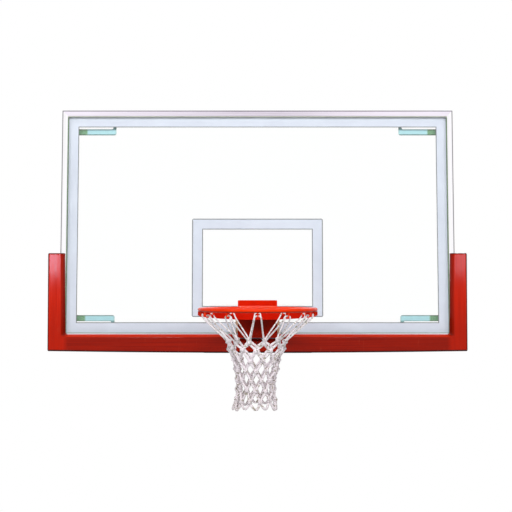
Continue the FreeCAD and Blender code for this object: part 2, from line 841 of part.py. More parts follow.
def net_meshes():
    """Cutters for one column of meshes under a hook, and for one column between two hooks."""
    rows = net_rows()
    half_step = math.pi / hook_count
    cord = net_cord / 2
    columns = ([], [])
    for k in range(1, len(rows) - 1):
        (_, z_up), (r, z), (_, z_down) = rows[k - 1], rows[k], rows[k + 1]
        side = r * math.sin(half_step)
        corners = [(-side, z), (0, z_down), (side, z), (0, z_up)]
        amount = [cord] * 4
        if k == 1:
            loop = net_loop_width / 2 + cord
            corners = [(-side, z), (0, z_down), (side, z), (loop, z_up), (-loop, z_up)]
            amount = [cord] * 4
            amount.insert(3, 0)
        columns[(k + 1) % 2].append(net_cutter(corners, amount))
    top_r, top_z = rows[0]
    side = top_r * math.sin(half_step) - net_loop_width / 2 - cord
    above = top_z + 2 * net_cord
    top_notch = [(0, rows[1][1]), (side, top_z), (side, above), (-side, above), (-side, top_z)]
    columns[1].append(net_cutter(top_notch, [cord] * 5))
    hem_r, hem_z = rows[-1]
    side = hem_r * math.sin(half_step)
    below = hem_z - 2 * net_cord
    hem_notch = [(0, rows[-2][1]), (-side, hem_z), (-side, below), (side, below), (side, hem_z)]
    columns[len(rows) % 2].append(net_cutter(hem_notch, [cord, 0, 0, 0, cord]))
    return columns


def net():
    """Knotted net hung on the hooks: a tapering tube opened by rows of diamond meshes."""
    rows = net_rows()
    top_r, top_z = rows[0]
    tube = net_tube([(top_r, top_z + net_cord)] + rows)
    pitch = 360 / hook_count
    under, between = net_meshes()
    cutters = [turned(c, pitch * k) for c in under for k in range(hook_count)]
    cutters += [turned(c, pitch * (k + 0.5)) for c in between for k in range(hook_count)]
    return tube.cut(cutters).removeSplitter()


def board_nodes():
    """Glass, frame, mounting plates and edge pad."""
    holes = screw_holes()
    rail, stile, plate, pad = top_rail(), left_stile(), mount_plate(), edge_pad()
    return {
        "glass_panel": glass_panel(),
        "border_marking": border_marking(),
        "target_marking": target_marking(),
        "glazing_gasket": glazing_gasket(),
        "frame_top_rail": rail.cut(holes),
        "frame_bottom_rail": up_down(rail).cut(holes),
        "frame_left_stile": stile.cut(holes),
        "frame_right_stile": left_right(stile).cut(holes),
        "mount_plate_top_left": plate,
        "mount_plate_top_right": left_right(plate),
        "mount_plate_bottom_left": up_down(plate),
        "mount_plate_bottom_right": up_down(left_right(plate)),
        "mount_plate_screws": plate_screws(),
        "mount_plate_nuts": plate_nuts(),
        "edge_pad_left": pad,
        "edge_pad_right": left_right(pad),
        "pad_screws": pad_screws(),
    }


def goal_nodes():
    """Fixed goal parts, hinge, springs and the moving ring with its net."""
    lug, bush, web, spring = hinge_lug(), hinge_bush(), carrier_web(), return_spring()
    rear_seat = spring_seat(goal_plate_front, -1)
    front_seat = spring_seat(panel_back, 1)
    return {
        "goal_gasket": goal_gasket(),
        "rear_gasket": rear_gasket(),
        "rear_goal_plate": rear_goal_plate(),
        "glass_bushings": glass_bushings(),
        "goal_bolts": goal_bolts(),
        "goal_washers": goal_washers(),
        "goal_nuts": goal_nuts(),
        "goal_back_plate": goal_back_plate(),
        "hinge_lug_left": lug,
        "hinge_lug_right": left_right(lug),
        "hinge_pin": hinge_pin(),
        "pin_clip": pin_clip(),
        "hinge_bushes": group([bush, left_right(bush)]),
        "rear_spring_seats": group([rear_seat, left_right(rear_seat)]),
        "front_spring_seats": group([front_seat, left_right(front_seat)]),
        "return_spring_left": spring,
        "return_spring_right": left_right(spring),
        "carrier_web_left": web,
        "carrier_web_right": left_right(web),
        "carrier_top_plate": carrier_top_plate(),
        "carrier_front_panel": carrier_front_panel(),
        "rim_ring": rim_ring(),
        "ring_brace": ring_brace(),
        "net_hooks": net_hooks(),
        "net": net(),
    }


os.makedirs("parts", exist_ok=True)
print("least gap between the spring's turns: %.2f mm" % spring_gap())
for name, shape in {**board_nodes(), **goal_nodes()}.items():
    shape.exportStep("parts/%s.step" % name)
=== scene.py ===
"""Looks of the glass backboard: edge pad, glass, prints, hinged goal, ring, springs and knotted net."""
import math
import random

import bmesh
import bpy
from mathutils import Matrix, Vector


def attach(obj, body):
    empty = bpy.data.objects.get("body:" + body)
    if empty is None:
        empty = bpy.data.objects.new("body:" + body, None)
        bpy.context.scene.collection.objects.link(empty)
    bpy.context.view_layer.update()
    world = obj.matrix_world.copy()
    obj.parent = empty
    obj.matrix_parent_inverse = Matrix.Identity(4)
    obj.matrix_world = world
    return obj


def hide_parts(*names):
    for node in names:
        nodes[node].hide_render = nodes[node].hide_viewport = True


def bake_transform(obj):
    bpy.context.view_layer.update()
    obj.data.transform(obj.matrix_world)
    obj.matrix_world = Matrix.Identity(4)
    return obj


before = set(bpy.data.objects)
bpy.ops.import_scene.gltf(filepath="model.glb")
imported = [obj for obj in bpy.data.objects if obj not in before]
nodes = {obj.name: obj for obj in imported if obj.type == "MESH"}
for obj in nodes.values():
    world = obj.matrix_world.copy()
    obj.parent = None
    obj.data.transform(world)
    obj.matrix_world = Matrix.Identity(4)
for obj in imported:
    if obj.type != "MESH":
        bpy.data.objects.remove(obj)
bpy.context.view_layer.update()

# Board, in metres
half_width = 0.9144
half_height = 0.5334
frame_front = -0.044
border_inner_edge = 0.0768
target_half_width = 0.3048
target_top = 0.0254
target_bottom = -0.4318
target_line = 0.0508
grey_edge_width = 0.004
print_reach = 0.1
# Heights of the painted light on the glazing seal along the board's top
seal_painted_light = (0.500, 0.505)
plate_dark_end = 0.111
plate_slot_far = 0.0669
plate_slot_near = 0.0812
plate_inner_edge = 0.109
plate_reach = 0.247
plate_edge_shade = 0.005

# Moulded edge pad; the profile is inset from below, from the side at the corner and at the top, and depth
pad_front = -0.069
pad_lip_front = -0.050
pad_lip_back = -0.0443
pad_rear_wall = -0.0057
pad_back = 0.014
pad_profile = (
    (0.0, 0.0, 0.0, pad_front),
    (0.062, 0.064, 0.0595, pad_front),
    (0.0725, 0.078, 0.0735, pad_lip_front),
    (0.0725, 0.078, 0.0735, pad_lip_back),
    (0.0497, 0.0477, 0.0512, pad_lip_back),
    (0.0497, 0.0477, 0.0512, pad_rear_wall),
    (0.072, 0.070, 0.0735, pad_rear_wall),
    (0.072, 0.070, 0.0735, pad_back),
    (0.0, 0.0, 0.0, pad_back),
)
pad_notch_tops = {1: (0.041, pad_front), 2: (0.0514, pad_lip_front), 3: (0.0514, pad_lip_back)}
pad_outer_x = -0.9624
pad_splay = 0.0035
pad_bottom_z = -0.5834
pad_top_z = -0.1374
pad_seam_x = -0.0001
pad_notch_x = -0.093
pad_stations = (-0.25, -0.4, -0.55, -0.7)
pad_bow = 0.008
pad_drop = 0.0035
pad_corner_round = 0.010
pad_front_round = 0.008
pad_inner_round = 0.005
pad_back_round = 0.004
pad_seam_round = 0.0015
pad_pockets = ((0.1524, -0.5224), (0.4572, -0.5224), (0.762, -0.5224), (0.9034, -0.4344), (0.9034, -0.2364))
pad_pocket_radius = 0.010
pad_pocket_depth = 0.008
pad_arm_start = (0.868, 0.888)
pad_arm_painted_shade = (-0.34, -0.48)
pad_bevel_start = 0.059

# Fasteners, hinge pin and spring seats
# A profile is (radius, distance along the axis)
plate_screw_places = ((0.8244, 0.4964), (0.7004, 0.4964), (0.8774, 0.4434))
plate_screw_profile = ((0.0, -0.015), (0.0038, -0.015), (0.0038, -0.0042), (0.0078, -0.0002),
                       (0.0081, 0.0001), (0.0078, 0.0005))
plate_screw_socket = 0.0028
pad_screw_profile = ((0.0, -0.012), (0.0028, -0.012), (0.0028, 0.0062), (0.0088, 0.0062), (0.009, 0.0072),
                     (0.0078, 0.0088), (0.0054, 0.0098))
pad_screw_socket = 0.0030
pad_screw_top = 0.0100
socket_depth = 0.0024
goal_bolt_x = 0.0635
goal_bolt_rows = (-0.3694, -0.4710)
goal_hexagon = 0.011
goal_bolt_head = (-0.060, -0.0528)
goal_bolt_profile = ((0.0, 0.0019), (0.0048, 0.0019), (0.006, 0.0007), (0.0053, 0.0), (0.006, -0.0007),
                     (0.0053, -0.0014), (0.006, -0.0021), (0.006, -0.0527), (0.0, -0.0527))
goal_washer_profile = ((0.0062, -0.0144), (0.0126, -0.0144), (0.013, -0.0140), (0.013, -0.0124),
                       (0.0126, -0.0119), (0.0062, -0.0119), (0.0062, -0.0144))
goal_nut = (-0.0119, -0.0014)
goal_nut_face = ((0.0, -0.0013), (0.0088, -0.0013), (0.0094, -0.0016), (0.0, -0.0016))
pin_y = -0.078
pin_z = -0.391
pin_profile = ((0.0, -0.094), (0.0112, -0.094), (0.012, -0.0932), (0.012, -0.0892), (0.008, -0.0892),
               (0.008, 0.0891), (0.0071, 0.0891), (0.0071, 0.0907), (0.008, 0.0907), (0.008, 0.0932),
               (0.0069, 0.0942), (0.0, 0.0942))
clip_section = ((0.0892, 0.0074), (0.0906, 0.0074), (0.0906, 0.012), (0.0892, 0.012))
clip_half_mouth = 28
seat_radius = 0.020
seat_boss_radius = 0.012
seat_thickness = 0.003
seat_edge = 0.0006
seat_boss_edge = 0.0015
rear_seat = (-0.0525, -0.0655)
front_seat = (-0.104, -0.091)

# Ring, strap and hooks
ring_y = -0.4195
ring_z = -0.389
ring_radius = 0.2366
ring_rod = 0.008
strap_outer = 0.2446
strap_thickness = 0.005
strap_top_drop = 0.0078
strap_side_drop = 0.023
strap_rear_drop = 0.051
hook_count = 12
hook_rod = 0.0025
hook_shank_radius = 0.2356
hook_tip_radius = 0.217
hook_low_z = -0.4166
hook_mid_z = -0.405
hook_shank_z = -0.3965
hook_tip_z = -0.398
weld_bead = 0.0026
weld_half_length = 0.085
ring_weld_radius = 0.2408
ring_weld_z = -0.3817
panel_weld_y = -0.1116
panel_weld_z = -0.3808
weld_steps = 30

# Heights between which painted shade darkens the finish, on the front panel and on the underside of the ring
panel_painted_shade = (-0.392, -0.384)
ring_painted_shade = (-0.3942, -0.3905)

# Return springs
spring_x = 0.036
spring_z = -0.434
spring_radius = 0.0155
spring_wire = 0.00225
spring_start_y = -0.05805
spring_end_y = -0.09845
spring_closed_turns = 0.75
spring_active_turns = 2.5
spring_closed_pitch = 0.0056
spring_points_per_turn = 12

# Knotted net
net_cord = 0.0031
net_leg_cord = 1.0
net_body_cord = 1.6
net_drops = (0.130, 0.160, 0.203, 0.243, 0.283, 0.323, 0.363, 0.403)
net_radii = (0.118, 0.111, 0.092, 0.085, 0.077, 0.075, 0.078, 0.082)
net_loop_radius = 0.2263
net_loop_z = -0.4085
net_loop_half_width = 0.012
net_loop_drop = 0.018
net_cross_shift = 0.0015
net_cross_rise = 0.005
net_cross_lift = 0.9
net_knot_radius = 2.7
net_knot_cord = 1.25
net_lean = -0.010
net_hem_lift = 0.014
net_hem_flare = 0.006
# Heights over which painted shade darkens the cord towards the hem
net_shade_heights = (-0.50, -0.79)
net_seed = 12

# Camera and light
camera_place = (-0.0069, -3.297, -0.3254)
camera_tilt = 93.09
camera_lens = 49.4
camera_sensor = 36.0
floor_z = -3.437
floor_half = 4.0
shade_light = 0.36
floor_light = 0.42

untinted = (1.0, 1.0, 1.0, 1.0)
touching = 1e-5


def paint(red, green, blue):
    """Colour from its eight-bit screen values."""
    shares = [value / 255 for value in (red, green, blue)]
    return [s / 12.92 if s <= 0.04045 else ((s + 0.055) / 1.055) ** 2.4 for s in shares] + [1.0]


def finish(name, roughness, metallic=0.0, specular=0.5):
    """New material, with its node tree and its shader."""
    material = bpy.data.materials.new(name)
    material.use_nodes = True
    shader = material.node_tree.nodes["Principled BSDF"]
    shader.inputs["Roughness"].default_value = roughness
    shader.inputs["Metallic"].default_value = metallic
    shader.inputs["Specular IOR Level"].default_value = specular
    return material, material.node_tree, shader


def sum_node(tree, operation, *values):
    """Math node with sockets or numbers as its inputs."""
    node = tree.nodes.new("ShaderNodeMath")
    node.operation = operation
    for socket, value in zip(node.inputs, values):
        if isinstance(value, bpy.types.NodeSocket):
            tree.links.new(value, socket)
        else:
            socket.default_value = value
    return node.outputs["Value"]


def mottle(tree, scale, stretch=(1.0, 1.0, 1.0), detail=4.0):
    """Soft blotches or grain, fixed to the piece."""
    place = tree.nodes.new("ShaderNodeTexCoord")
    mapping = tree.nodes.new("ShaderNodeMapping")
    mapping.inputs["Scale"].default_value = stretch
    noise = tree.nodes.new("ShaderNodeTexNoise")
    noise.inputs["Scale"].default_value = scale
    noise.inputs["Detail"].default_value = detail
    noise.inputs["Roughness"].default_value = 0.55
    tree.links.new(place.outputs["Object"], mapping.inputs["Vector"])
    tree.links.new(mapping.outputs["Vector"], noise.inputs["Vector"])
    return noise.outputs["Fac"]


def ramp(tree, share, stops, steps=False):
    """Colours along a value, from (place, colour) pairs."""
    node = tree.nodes.new("ShaderNodeValToRGB")
    node.color_ramp.interpolation = "CONSTANT" if steps else "LINEAR"
    elements = node.color_ramp.elements
    while len(elements) < len(stops):
        elements.new(0.5)
    for element, (place, colour) in zip(elements, stops):
        element.position = place
        element.color = colour
    tree.links.new(share, node.inputs["Fac"])
    return node.outputs["Color"]


def span(tree, value, low, high, to_low=0.0, to_high=1.0):
    """Value moved from one range to another."""
    node = tree.nodes.new("ShaderNodeMapRange")
    for name, number in (("From Min", low), ("From Max", high), ("To Min", to_low), ("To Max", to_high)):
        node.inputs[name].default_value = number
    tree.links.new(value, node.inputs["Value"])
    return node.outputs["Result"]


def tinted(tree, base, over, share, blend="MIX"):
    """One colour laid over another."""
    node = tree.nodes.new("ShaderNodeMix")
    node.data_type = "RGBA"
    node.blend_type = blend
    for socket, value in ((node.inputs[0], share), (node.inputs[6], base), (node.inputs[7], over)):
        if isinstance(value, bpy.types.NodeSocket):
            tree.links.new(value, socket)
        else:
            socket.default_value = value
    return node.outputs[2]


def relief(tree, shader, height, depth):
    """Bump on the surface, as deep as given in metres."""
    node = tree.nodes.new("ShaderNodeBump")
    node.inputs["Distance"].default_value = depth
    node.inputs["Strength"].default_value = 1.0
    tree.links.new(height, node.inputs["Height"])
    tree.links.new(node.outputs["Normal"], shader.inputs["Normal"])


def place_on(tree):
    """Place of a point on the piece, as its X, Y and Z sockets."""
    place = tree.nodes.new("ShaderNodeTexCoord")
    parts = tree.nodes.new("ShaderNodeSeparateXYZ")
    tree.links.new(place.outputs["Object"], parts.inputs["Vector"])
    return parts.outputs


def inset(tree, half_x, low_z, high_z):
    """How far a point lies inside an upright rectangle's edges."""
    place = place_on(tree)
    from_side = sum_node(tree, "SUBTRACT", half_x, sum_node(tree, "ABSOLUTE", place["X"]))
    from_low = sum_node(tree, "SUBTRACT", place["Z"], low_z)
    from_high = sum_node(tree, "SUBTRACT", high_z, place["Z"])
    return sum_node(tree, "MINIMUM", from_side, sum_node(tree, "MINIMUM", from_low, from_high))


def board_edge(tree):
    """How far a point lies inside the board's edges."""
    return inset(tree, half_width, -half_height, half_height)


def target_edge(tree):
    """How far a point lies inside the target's edges."""
    return inset(tree, target_half_width, target_bottom, target_top)


def clear_glass():
    """Tempered glass, faintly green, that lets the lamps through to what is behind it."""
    material, tree, shader = finish("clear_glass", roughness=0.0)
    shader.inputs["Transmission Weight"].default_value = 1.0
    shader.inputs["IOR"].default_value = 1.5
    body = ramp(tree, mottle(tree, 1.3), [(0.3, (0.997, 1.0, 0.999, 1.0)), (0.7, (0.992, 1.0, 0.996, 1.0))])
    tree.links.new(body, shader.inputs["Base Color"])
    path = tree.nodes.new("ShaderNodeLightPath")
    clear = tree.nodes.new("ShaderNodeBsdfTransparent")
    clear.inputs["Color"].default_value = (0.985, 0.992, 0.988, 1.0)
    surface = shader.outputs["BSDF"]
    for ray in ("Is Shadow Ray", "Is Diffuse Ray"):
        either = tree.nodes.new("ShaderNodeMixShader")
        tree.links.new(path.outputs[ray], either.inputs["Fac"])
        tree.links.new(surface, either.inputs[1])
        tree.links.new(clear.outputs["BSDF"], either.inputs[2])
        surface = either.outputs["Shader"]
    tree.links.new(surface, tree.nodes["Material Output"].inputs["Surface"])
    return material


def fired_print(name, edge, lines):
    """White ceramic print with a thin grey line along its edges."""
    material, tree, shader = finish(name, roughness=0.55, specular=0.3)
    white, grey = paint(226, 232, 246), paint(128, 131, 136)
    stops = [(start / print_reach, grey if dark else white) for start, dark in lines]
    marked = ramp(tree, span(tree, edge(tree), 0.0, print_reach), stops, steps=True)
    cloud = ramp(tree, mottle(tree, 9.0), [(0.35, (0.95, 0.95, 0.96, 1.0)), (0.65, untinted)])
    tree.links.new(tinted(tree, marked, cloud, 1.0, "MULTIPLY"), shader.inputs["Base Color"])
    relief(tree, shader, mottle(tree, 1500.0), 0.00004)
    return material


def aluminium(name, stretch, middle, ends):
    """Satin extrusion with drawing lines along its length; painted reflection makes it darker in the middle,
    and painted shade gives it a grey outer edge.
    """
    material, tree, shader = finish(name, roughness=0.3, specular=0.02)
    streak = mottle(tree, 6.0, stretch)
    place = place_on(tree)
    # Painted reflection: the extrusion is darker towards its middle.
    length = span(tree, sum_node(tree, "ABSOLUTE", place["X"]), 0.1, 0.8)
    face = ramp(tree, length, [(0.0, middle), (1.0, ends)])
    lines = ramp(tree, streak, [(0.3, (0.94, 0.93, 0.94, 1.0)), (0.7, untinted)])
    drawn = tinted(tree, face, lines, 1.0, "MULTIPLY")
    # Painted shade: a grey band along the board's outer edge on the front face.
    behind = span(tree, place["Y"], frame_front + 0.004, frame_front + 0.006, 0.0, 0.01)
    from_edge = sum_node(tree, "MAXIMUM", behind, board_edge(tree))
    rim = ramp(tree, span(tree, from_edge, 0.0, 0.01),
               [(0.0, paint(132, 130, 134)), (0.44, paint(140, 138, 142)), (0.5, untinted)])
    tree.links.new(span(tree, from_edge, 0.0044, 0.005), shader.inputs["Metallic"])
    tree.links.new(tinted(tree, drawn, rim, 1.0, "MULTIPLY"), shader.inputs["Base Color"])
    tree.links.new(span(tree, streak, 0.3, 0.7, 0.11, 0.16), shader.inputs["Roughness"])
    relief(tree, shader, streak, 0.00002)
    return material


def rubber(name, dark, pale, grain, roughness=0.7, top=None):
    """Rubber or vinyl with a fine grain; where a top colour is given, painted light makes it paler along the
    board's top.
    """
    material, tree, shader = finish(name, roughness=roughness, specular=0.25)
    body = ramp(tree, mottle(tree, grain), [(0.3, dark), (0.7, pale)])
    if top:
        # Painted light: the given top colour makes the seal paler along the board's top.
        body = tinted(tree, body, top, span(tree, place_on(tree)["Z"], *seal_painted_light))
    tree.links.new(body, shader.inputs["Base Color"])
    relief(tree, shader, mottle(tree, grain * 4), 0.0001)
    return material


def coated_plate():
    """Coated steel plate seen through the glass, darker at its outer end, with painted shade along its edges.
    """
    material, tree, shader = finish("coated_plate", roughness=0.45, specular=0.3)
    far = half_height * 4
    across = span(tree, inset(tree, half_width, -far, far), 0.0, half_width)
    dark_end = plate_dark_end / half_width
    pale = paint(180, 228, 236)
    body = ramp(tree, across, [
        (0.0, paint(96, 150, 104)), (dark_end - 0.004, paint(110, 160, 118)), (dark_end + 0.004, pale),
        ((plate_reach - 0.005) / half_width, pale),
        ((plate_reach - 0.003) / half_width, paint(166, 208, 208))])
    start = plate_slot_far - 0.012
    upright = span(tree, inset(tree, half_width * 4, -half_height, half_height), start, plate_inner_edge)
    reach = plate_inner_edge - start
    slot = (plate_slot_near - start) / reach
    line = plate_edge_shade / reach
    # Painted shade: darker bands at the slot and along the plate's inner edge.
    edges = ramp(tree, upright, [
        (0.0, untinted), (0.010 / reach, paint(140, 165, 140)), (slot, paint(160, 178, 170)),
        (slot + line, untinted), (1 - line * 1.1, untinted), (1 - line * 0.6, paint(140, 150, 144))])
    shade_lined = tinted(tree, body, edges, 1.0, "MULTIPLY")
    cloud = ramp(tree, mottle(tree, 30.0), [(0.3, (0.9, 0.92, 0.92, 1.0)), (0.7, untinted)])
    tree.links.new(tinted(tree, shade_lined, cloud, 1.0, "MULTIPLY"), shader.inputs["Base Color"])
    relief(tree, shader, mottle(tree, 700.0), 0.0001)
    return material


def plain_metal(name, dark, pale, roughness, grain):
    """Bare or plated metal with soft blotches."""
    material, tree, shader = finish(name, roughness=roughness, metallic=1.0)
    blotch = mottle(tree, grain)
    tree.links.new(ramp(tree, blotch, [(0.3, dark), (0.7, pale)]), shader.inputs["Base Color"])
    polish = span(tree, blotch, 0.3, 0.7, roughness - 0.08, roughness + 0.1)
    tree.links.new(polish, shader.inputs["Roughness"])
    relief(tree, shader, mottle(tree, grain * 8), 0.0001)
    return material


def powder_coat(name, deep, bright, painted_shade_span=None):
    """Baked powder paint on steel, with orange peel; where heights are given, painted shade darkens it below
    them.
    """
    material, tree, shader = finish(name, roughness=0.25, specular=0.045)
    paint_layer = ramp(tree, mottle(tree, 14.0), [(0.3, deep), (0.7, bright)])
    # Painted shade below the given heights.
    if painted_shade_span:
        height = span(tree, place_on(tree)["Z"], *painted_shade_span)
        painted_dimming = ramp(tree, height, [(0.0, (0.36, 0.42, 1.0, 1.0)), (1.0, untinted)])
        paint_layer = tinted(tree, paint_layer, painted_dimming, 1.0, "MULTIPLY")
    tree.links.new(paint_layer, shader.inputs["Base Color"])
    tree.links.new(span(tree, mottle(tree, 40.0), 0.3, 0.7, 0.16, 0.24), shader.inputs["Roughness"])
    relief(tree, shader, mottle(tree, 420.0, detail=1.0), 0.00005)
    return material


def pad_skin():
    """Moulded red skin of the edge pad: flow streaks along its length and light scuffs; painted light makes
    the arms and the run's top bevel lighter, and painted shade darkens its edges and the arms' inner bevels.
    """
    material, tree, shader = finish("red_pad", roughness=0.14, specular=0.11)
    place = place_on(tree)
    height = place["Z"]
    across = sum_node(tree, "ABSOLUTE", place["X"])
    arm = span(tree, across, *pad_arm_start)
    along_run = mottle(tree, 1.0, (3.0, 170.0, 170.0))
    along_arm = mottle(tree, 1.0, (170.0, 170.0, 3.0))
    streak = tinted(tree, along_run, along_arm, arm)
    # Painted light: the arms are a lighter red than the run under the board.
    run_red = ramp(tree, streak, [(0.3, paint(127, 14, 0)), (0.7, paint(151, 23, 2))])
    arm_red = ramp(tree, streak, [(0.3, paint(174, 23, 0)), (0.7, paint(198, 34, 3))])
    # Painted shade: the arms darken towards their lower end.
    arm_red = tinted(tree, arm_red, paint(158, 21, 0), span(tree, height, *pad_arm_painted_shade, 0.0, 0.6))
    # Painted light: a lighter red along the bevel at the top of the run.
    bevel_z = pad_bottom_z + pad_bevel_start
    lit_bevel = span(tree, height, bevel_z, bevel_z + 0.005)
    body = tinted(tree, tinted(tree, run_red, paint(194, 38, 6), lit_bevel), arm_red, arm)
    scratch = mottle(tree, 55.0, (1.0, 1.0, 0.2))
    scuff = ramp(tree, scratch, [(0.62, (0.0, 0.0, 0.0, 1.0)), (0.8, (0.12, 0.12, 0.12, 1.0))])
    scuffs_and_painted_light = tinted(tree, body, paint(214, 96, 70), scuff)

    # Painted shade: dark lines along the pad's lower, outer, top and seam edges on its front, and darker
    # inner bevels on the arms.
    squared = sum_node(tree, "MULTIPLY", across, across)
    lowest = pad_bow + pad_drop - pad_bottom_z
    bow = sum_node(tree, "MULTIPLY_ADD", squared, -pad_bow / pad_outer_x ** 2, lowest)
    lower = span(tree, sum_node(tree, "ADD", height, bow), 0.0045, 0.009)
    slope = pad_splay / (pad_top_z - pad_bottom_z)
    side_line = sum_node(tree, "MULTIPLY_ADD", height, slope, -pad_outer_x - slope * pad_bottom_z)
    from_side = sum_node(tree, "SUBTRACT", side_line, across)
    outer = span(tree, from_side, 0.0055, 0.008, 0.15, 1.0)
    upper = span(tree, sum_node(tree, "SUBTRACT", pad_top_z, height), 0.004, 0.0065, 0.25, 1.0)
    seam = span(tree, across, 0.0008, 0.0022, 0.1, 1.0)
    run_lines = sum_node(tree, "MINIMUM", lower, seam)
    lines = sum_node(tree, "MINIMUM", run_lines, sum_node(tree, "MINIMUM", outer, upper))
    front = span(tree, place["Y"], pad_front + 0.020, pad_front + 0.010)
    edge = sum_node(tree, "MULTIPLY_ADD", front, sum_node(tree, "SUBTRACT", lines, 1.0), 1.0)
    above = sum_node(tree, "MULTIPLY", arm, span(tree, height, bevel_z + 0.003, bevel_z + 0.013))
    painted_dimming = sum_node(tree, "MULTIPLY", above, span(tree, from_side, 0.0585, 0.0735, 0.0, -0.6))
    shaded = sum_node(tree, "MULTIPLY_ADD", edge, painted_dimming, edge)
    shade = ramp(tree, shaded, [(0.0, paint(60, 40, 36)), (1.0, untinted)])
    tree.links.new(tinted(tree, scuffs_and_painted_light, shade, 1.0, "MULTIPLY"), shader.inputs["Base Color"])
    tree.links.new(span(tree, streak, 0.3, 0.7, 0.09, 0.19), shader.inputs["Roughness"])
    relief(tree, shader, streak, 0.00004)
    return material


def twisted_cord():
    """White twisted cord; the plies follow the piece's own length map; painted shade gives it dark blotches
    and darkens it towards the hem.
    """
    material, tree, shader = finish("white_cord", roughness=0.8, specular=0.15)
    shader.inputs["Sheen Weight"].default_value = 0.3
    plies = tree.nodes.new("ShaderNodeTexWave")
    plies.bands_direction = "DIAGONAL"
    plies.inputs["Scale"].default_value = 1.0
    mapping = tree.nodes.new("ShaderNodeMapping")
    mapping.inputs["Scale"].default_value = (60.0, 3.0, 1.0)
    length = tree.nodes.new("ShaderNodeUVMap")
    tree.links.new(length.outputs["UV"], mapping.inputs["Vector"])
    tree.links.new(mapping.outputs["Vector"], plies.inputs["Vector"])
    lay = ramp(tree, plies.outputs["Fac"], [(0.0, paint(238, 231, 233)), (0.5, paint(255, 250, 255))])
    # Painted shade: dark blotches, and darker cord towards the hem.
    blotch_shade = ramp(tree, mottle(tree, 110.0), [(0.38, (0.46, 0.45, 0.34, 1.0)), (0.45, untinted)])
    lowness = span(tree, place_on(tree)["Z"], *net_shade_heights)
    hem_shade = ramp(tree, lowness, [(0.0, untinted), (0.3, (0.97, 0.94, 0.96, 1.0)),
                                   (1.0, (0.88, 0.84, 0.84, 1.0))])
    cord_shade = tinted(tree, hem_shade, blotch_shade, 1.0, "MULTIPLY")
    tree.links.new(tinted(tree, lay, cord_shade, 1.0, "MULTIPLY"), shader.inputs["Base Color"])
    relief(tree, shader, plies.outputs["Fac"], 0.0003)
    return material


def dress(material, *names):
    """Gives CAD nodes that stay in view their finish."""
    for name in names:
        for place in nodes[name].material_slots:
            place.material = material


def settle(mesh, name, material, body, slot, *replaced):
    """Puts a finished mesh into the scene as a piece of the part."""
    piece = bpy.data.objects.new(name, mesh)
    bpy.context.scene.collection.objects.link(piece)
    mesh.materials.clear()
    mesh.materials.append(material)
    if body:
        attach(piece, body)
    if replaced:
        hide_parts(*replaced)
    return piece


def closed(bm, name, crease=35):
    """Mesh of a bmesh with doubles merged, faces outwards and sharp edges kept crisp."""
    bmesh.ops.remove_doubles(bm, verts=bm.verts, dist=1e-6)
    bmesh.ops.recalc_face_normals(bm, faces=bm.faces)
    for face in bm.faces:
        face.smooth = max(abs(part) for part in face.normal) < 0.99999
    for edge in bm.edges:
        edge.smooth = edge.calc_face_angle(0.0) < math.radians(crease)
    mesh = bpy.data.meshes.new(name)
    bm.to_mesh(mesh)
    bm.free()
    return mesh


def rod_mesh(name, routes, radius, sides=2, steps=8):
    """Round rod or cord along smooth lines; a route is (points, thicknesses, closed or not)."""
    curve = bpy.data.curves.new(name, "CURVE")
    curve.dimensions = "3D"
    curve.bevel_depth = radius
    curve.bevel_resolution = sides
    curve.resolution_u = steps
    curve.use_fill_caps = True
    for points, thickness, ring in routes:
        line = curve.splines.new("NURBS")
        line.points.add(len(points) - 1)
        for point, place, share in zip(line.points, points, thickness):
            point.co = (*place, 1.0)
            point.radius = share
        line.order_u = 3
        line.use_cyclic_u = ring
        line.use_endpoint_u = not ring
    holder = bpy.data.objects.new(name, curve)
    bpy.context.scene.collection.objects.link(holder)
    depsgraph = bpy.context.evaluated_depsgraph_get()
    mesh = bpy.data.meshes.new_from_object(holder.evaluated_get(depsgraph))
    bpy.data.objects.remove(holder)
    bpy.data.curves.remove(curve)
    for face in mesh.polygons:
        face.use_smooth = True
    mesh.name = name
    return mesh


def section(bm, points):
    """Closed ring of edges through the corners of a cross-section."""
    corners = [bm.verts.new(point) for point in points]
    return [bm.edges.new((a, b)) for a, b in zip(corners, corners[1:] + corners[:1])]


def run(bm, rings):
    """Closed solid through a row of cross-sections."""
    sections = [section(bm, ring) for ring in rings]
    for first, second in zip(sections, sections[1:]):
        bmesh.ops.bridge_loops(bm, edges=first + second)
    for end in (sections[0], sections[-1]):
        bmesh.ops.contextual_create(bm, geom=end)


def pad_sections():
    """Cross-sections of the left pad half, from the centre seam along the run, and then up the arm."""
    full = [(rise, y) for rise, _, _, y in pad_profile]
    notched = [pad_notch_tops.get(k, point) for k, point in enumerate(full)]
    stations = [(pad_seam_x, notched), (pad_notch_x, notched), (pad_notch_x, full)]
    stations += [(x, full) for x in pad_stations]
    rings = []
    for x, points in stations:
        lowest = -pad_drop - pad_bow * (1 - (x / pad_outer_x) ** 2)
        rings.append([(x, y, pad_bottom_z + (rise if rise else lowest)) for rise, y in points])
    rings.append([(pad_outer_x + side, y, pad_bottom_z + (rise if rise else -pad_drop))
                  for rise, side, _, y in pad_profile])
    rings.append([(pad_outer_x - pad_splay + side, y, pad_top_z) for _, _, side, y in pad_profile])
    return rings


